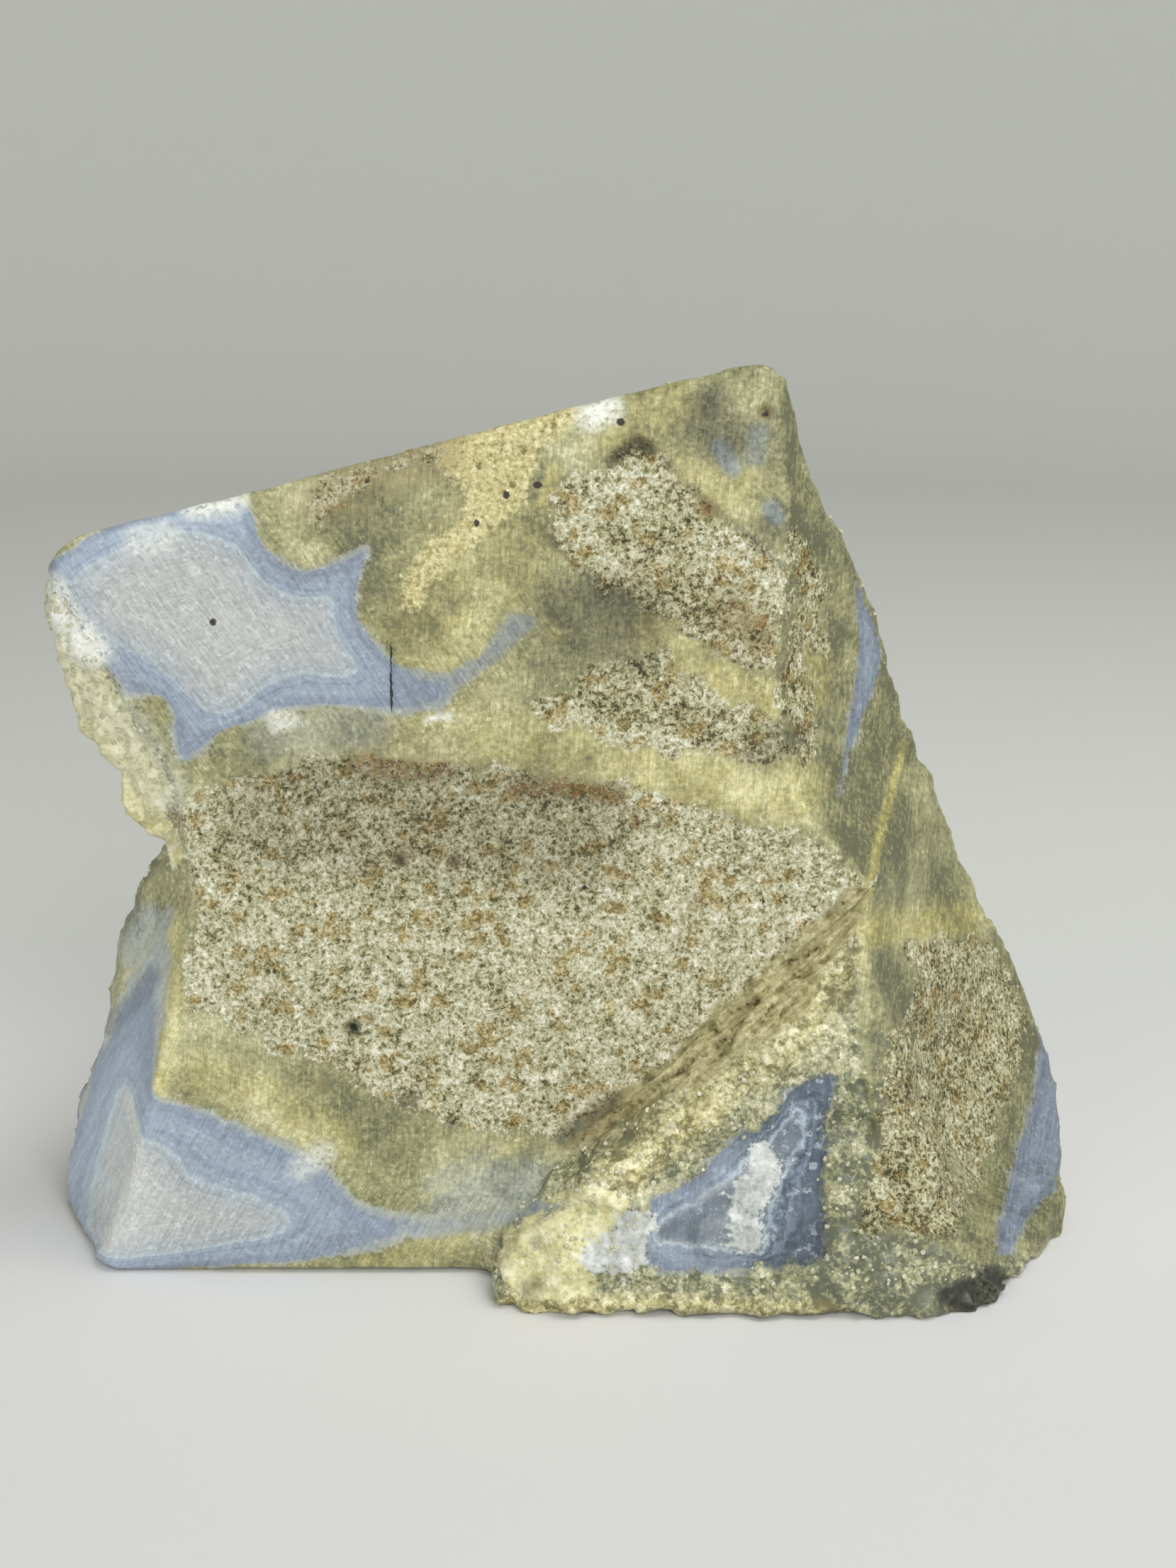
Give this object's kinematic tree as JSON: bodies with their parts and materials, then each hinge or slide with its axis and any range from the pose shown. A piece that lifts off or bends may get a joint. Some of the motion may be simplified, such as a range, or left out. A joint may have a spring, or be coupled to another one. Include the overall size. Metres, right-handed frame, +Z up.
{
  "type": "blue lace agate stone",
  "caption": "Saw-cut wedge of grey dolerite breccia cemented by olive chalcedony and blue banded agate, standing on its edge.",
  "frame": {"origin": "centre of the stone's bounding box, at the height of the flat that it stands on", "axes": "+Z up, the sawn front faces -Y, +X to the right as seen from the front, the longest way"},
  "size_m": [0.0978, 0.0362, 0.082],
  "materials": {
    "stone": "satin"
  },
  "bodies": {
    "root": {"blue_lace_agate": "stone"}
  },
  "joints": []
}
